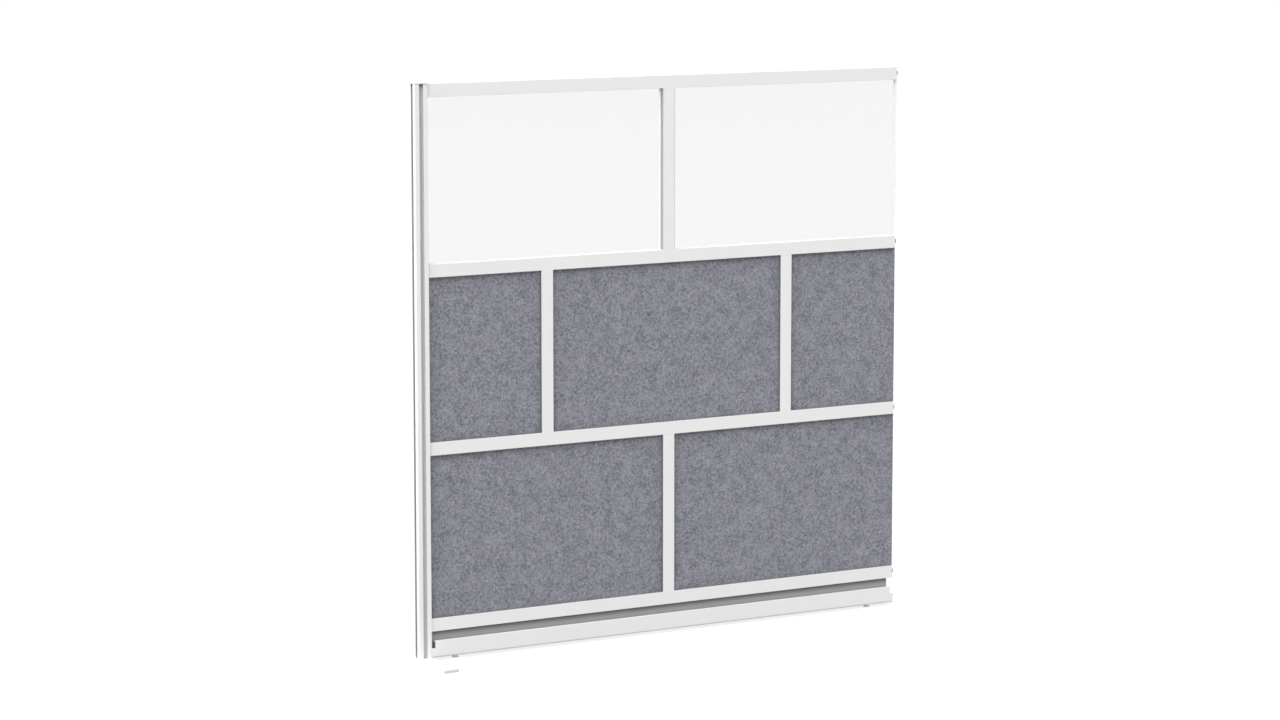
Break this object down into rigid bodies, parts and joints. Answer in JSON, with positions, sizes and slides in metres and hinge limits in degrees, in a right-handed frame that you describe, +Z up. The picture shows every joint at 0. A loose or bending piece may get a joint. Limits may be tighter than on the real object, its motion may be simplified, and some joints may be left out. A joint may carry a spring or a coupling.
{
  "type": "acoustic divider screen",
  "caption": "Freestanding modular acoustic divider section: slotted white post on a flat foot, white rails, frosted panes above grey felt panels, lock hooks at the free end",
  "frame": {"origin": "on the floor, under the axis of the post, at the centre of the foot's underside", "axes": "+X along the wall from the post to the free end, +Y from the front to the back, +Z up"},
  "size_m": [1.7617, 0.392, 1.78],
  "materials": {
    "white_coat": "white powder coat, satin",
    "grey_coat": "light grey powder coat, satin",
    "grey_felt": "pressed felt, mottled blue grey",
    "frosted_acrylic": "frosted, lets blurred light through",
    "clear_plastic": "smooth clear extrusion",
    "pale_plastic": "smooth pale moulding",
    "white_plastic": "moulded white",
    "grey_plastic": "moulded light grey",
    "mid_grey_rubber": "smooth grey seal",
    "dark_grey_rubber": "smooth dark grey seal",
    "white_rubber": "pale soft rubber",
    "zinc_steel": "zinc plated",
    "dark_zinc": "dark passivated zinc plate",
    "zinc_cast": "die-cast zinc, dull",
    "cast_aluminium": "as cast"
  },
  "bodies": {
    "frame": {"post_extrusion": "white_coat", "post_cap": "grey_plastic", "foot_plate": "white_coat", "foot_screws": "zinc_steel", "top_rail": "white_coat", "upper_rail": "white_coat", "lower_rail": "white_coat", "bottom_rail": "white_coat", "top_mullion": "white_coat", "left_mullion": "white_coat", "right_mullion": "white_coat", "bottom_mullion": "white_coat", "mullion_connectors": "cast_aluminium", "connector_screws": "zinc_steel", "mullion_grub_screws": "zinc_steel", "frosted_pane_left": "frosted_acrylic", "frosted_pane_right": "frosted_acrylic", "felt_middle_left": "grey_felt", "felt_middle_centre": "grey_felt", "felt_middle_right": "grey_felt", "felt_lower_left": "grey_felt", "felt_lower_right": "grey_felt", "pane_gaskets": "white_rubber", "pane_seals": "mid_grey_rubber", "felt_seals": "dark_grey_rubber", "pane_edge_trims": "clear_plastic", "felt_wedges": "white_rubber", "lock_housings": "white_plastic", "lock_screws": "zinc_steel", "base_web": "grey_coat", "web_packers": "white_rubber", "base_shoe": "white_coat", "shoe_blocks": "white_plastic", "shoe_screws": "zinc_steel"},
    "top_left_hook": {"top_left_hook": "dark_zinc"},
    "top_left_cam": {"top_left_cam": "zinc_cast"},
    "top_right_hook": {"top_right_hook": "dark_zinc"},
    "top_right_cam": {"top_right_cam": "zinc_cast"},
    "upper_left_hook": {"upper_left_hook": "dark_zinc"},
    "upper_left_cam": {"upper_left_cam": "zinc_cast"},
    "upper_right_hook": {"upper_right_hook": "dark_zinc"},
    "upper_right_cam": {"upper_right_cam": "zinc_cast"},
    "lower_left_hook": {"lower_left_hook": "dark_zinc"},
    "lower_left_cam": {"lower_left_cam": "zinc_cast"},
    "lower_right_hook": {"lower_right_hook": "dark_zinc"},
    "lower_right_cam": {"lower_right_cam": "zinc_cast"},
    "bottom_left_hook": {"bottom_left_hook": "dark_zinc"},
    "bottom_left_cam": {"bottom_left_cam": "zinc_cast"},
    "bottom_right_hook": {"bottom_right_hook": "dark_zinc"},
    "bottom_right_cam": {"bottom_right_cam": "zinc_cast"},
    "leveller_pad_left": {"leveller_pad_left": "pale_plastic"},
    "leveller_stud_left": {"leveller_stud_left": "zinc_steel"},
    "leveller_pad_right": {"leveller_pad_right": "pale_plastic"},
    "leveller_stud_right": {"leveller_stud_right": "zinc_steel"}
  },
  "joints": [
    {"name": "top_left_hook_slide", "type": "slide", "parent": "frame", "child": "top_left_hook", "axis": [-1, 0, 0], "range_m": [0, 0.003]},
    {"name": "top_left_cam_turn", "type": "hinge", "parent": "frame", "child": "top_left_cam", "pos_m": [0.0415, 0, 1.7575], "axis": [0, -1, 0], "range_deg": [0, 90]},
    {"name": "top_right_hook_slide", "type": "slide", "parent": "frame", "child": "top_right_hook", "axis": [-1, 0, 0], "range_m": [0, 0.003]},
    {"name": "top_right_cam_turn", "type": "hinge", "parent": "frame", "child": "top_right_cam", "pos_m": [1.7045, 0, 1.7575], "axis": [0, -1, 0], "range_deg": [0, 90]},
    {"name": "upper_left_hook_slide", "type": "slide", "parent": "frame", "child": "upper_left_hook", "axis": [-1, 0, 0], "range_m": [0, 0.003]},
    {"name": "upper_left_cam_turn", "type": "hinge", "parent": "frame", "child": "upper_left_cam", "pos_m": [0.0415, 0, 1.20883], "axis": [0, -1, 0], "range_deg": [0, 90]},
    {"name": "upper_right_hook_slide", "type": "slide", "parent": "frame", "child": "upper_right_hook", "axis": [-1, 0, 0], "range_m": [0, 0.003]},
    {"name": "upper_right_cam_turn", "type": "hinge", "parent": "frame", "child": "upper_right_cam", "pos_m": [1.7045, 0, 1.20883], "axis": [0, -1, 0], "range_deg": [0, 90]},
    {"name": "lower_left_hook_slide", "type": "slide", "parent": "frame", "child": "lower_left_hook", "axis": [-1, 0, 0], "range_m": [0, 0.003]},
    {"name": "lower_left_cam_turn", "type": "hinge", "parent": "frame", "child": "lower_left_cam", "pos_m": [0.0415, 0, 0.66017], "axis": [0, -1, 0], "range_deg": [0, 90]},
    {"name": "lower_right_hook_slide", "type": "slide", "parent": "frame", "child": "lower_right_hook", "axis": [-1, 0, 0], "range_m": [0, 0.003]},
    {"name": "lower_right_cam_turn", "type": "hinge", "parent": "frame", "child": "lower_right_cam", "pos_m": [1.7045, 0, 0.66017], "axis": [0, -1, 0], "range_deg": [0, 90]},
    {"name": "bottom_left_hook_slide", "type": "slide", "parent": "frame", "child": "bottom_left_hook", "axis": [-1, 0, 0], "range_m": [0, 0.003]},
    {"name": "bottom_left_cam_turn", "type": "hinge", "parent": "frame", "child": "bottom_left_cam", "pos_m": [0.0415, 0, 0.1115], "axis": [0, -1, 0], "range_deg": [0, 90]},
    {"name": "bottom_right_hook_slide", "type": "slide", "parent": "frame", "child": "bottom_right_hook", "axis": [-1, 0, 0], "range_m": [0, 0.003]},
    {"name": "bottom_right_cam_turn", "type": "hinge", "parent": "frame", "child": "bottom_right_cam", "pos_m": [1.7045, 0, 0.1115], "axis": [0, -1, 0], "range_deg": [0, 90]},
    {"name": "leveller_pad_left_travel", "type": "slide", "parent": "frame", "child": "leveller_pad_left", "axis": [0, 0, -1], "range_m": [0, 0.012]},
    {"name": "leveller_stud_left_turn", "type": "hinge", "parent": "leveller_pad_left", "child": "leveller_stud_left", "pos_m": [0.112, 0, 0], "axis": [0, 0, -1], "range_deg": [0, 2880]},
    {"name": "leveller_pad_right_travel", "type": "slide", "parent": "frame", "child": "leveller_pad_right", "axis": [0, 0, -1], "range_m": [0, 0.012]},
    {"name": "leveller_stud_right_turn", "type": "hinge", "parent": "leveller_pad_right", "child": "leveller_stud_right", "pos_m": [1.634, 0, 0], "axis": [0, 0, -1], "range_deg": [0, 2880]}
  ],
  "couplings": [
    {"joint": "top_left_cam_turn", "follows": "top_left_hook_slide", "rad_per_m": 523.59},
    {"joint": "top_right_cam_turn", "follows": "top_right_hook_slide", "rad_per_m": 523.59},
    {"joint": "upper_left_cam_turn", "follows": "upper_left_hook_slide", "rad_per_m": 523.59},
    {"joint": "upper_right_cam_turn", "follows": "upper_right_hook_slide", "rad_per_m": 523.59},
    {"joint": "lower_left_cam_turn", "follows": "lower_left_hook_slide", "rad_per_m": 523.59},
    {"joint": "lower_right_cam_turn", "follows": "lower_right_hook_slide", "rad_per_m": 523.59},
    {"joint": "bottom_left_cam_turn", "follows": "bottom_left_hook_slide", "rad_per_m": 523.59},
    {"joint": "bottom_right_cam_turn", "follows": "bottom_right_hook_slide", "rad_per_m": 523.59},
    {"joint": "leveller_stud_left_turn", "follows": "leveller_pad_left_travel", "rad_per_m": 4188.8},
    {"joint": "leveller_stud_right_turn", "follows": "leveller_pad_right_travel", "rad_per_m": 4188.8}
  ]
}
